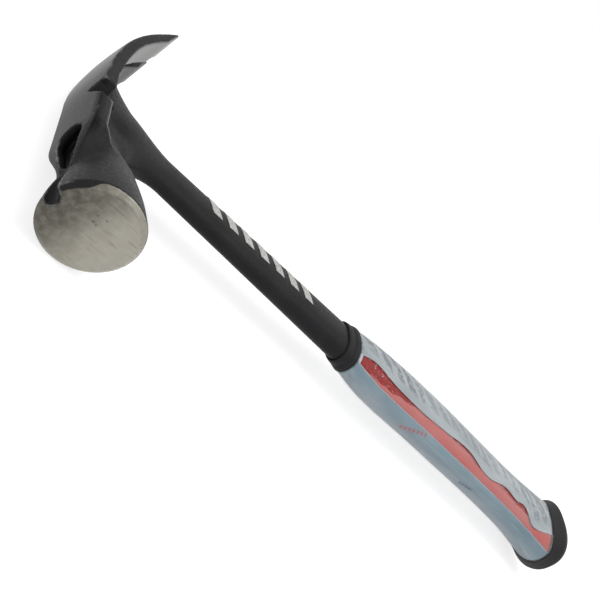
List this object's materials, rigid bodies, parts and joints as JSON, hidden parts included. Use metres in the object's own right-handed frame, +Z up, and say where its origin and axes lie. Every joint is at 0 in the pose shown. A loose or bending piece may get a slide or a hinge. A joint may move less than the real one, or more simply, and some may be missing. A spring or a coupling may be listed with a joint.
{
  "type": "claw hammer",
  "caption": "One-piece steel claw hammer with a round striking face, a nail starter on top, a side nail notch and a moulded grip under a printed label and clear film.",
  "frame": {"origin": "middle of the footprint, on the surface the hammer lies on", "axes": "+X along the handle towards the head, +Y towards the striking face, +Z up from the lower cheek to the upper cheek"},
  "size_m": [0.3282, 0.1348, 0.0344],
  "materials": {
    "black_steel": "satin black coating on forged steel, bare on the striking face",
    "magnet": "plated",
    "black_rubber": "matt moulded",
    "black_plastic": "matt moulded",
    "red_rubber": "satin moulded",
    "label": "coated, pale grey-blue",
    "film": "clear shrink film"
  },
  "bodies": {
    "root": {"forged_body": "black_steel", "nail_magnet": "magnet", "grip_collar": "black_rubber", "grip_core": "black_plastic", "grip_sleeve": "red_rubber", "butt_cap": "black_rubber", "label_wrap": "label", "clear_film": "film"}
  },
  "joints": []
}
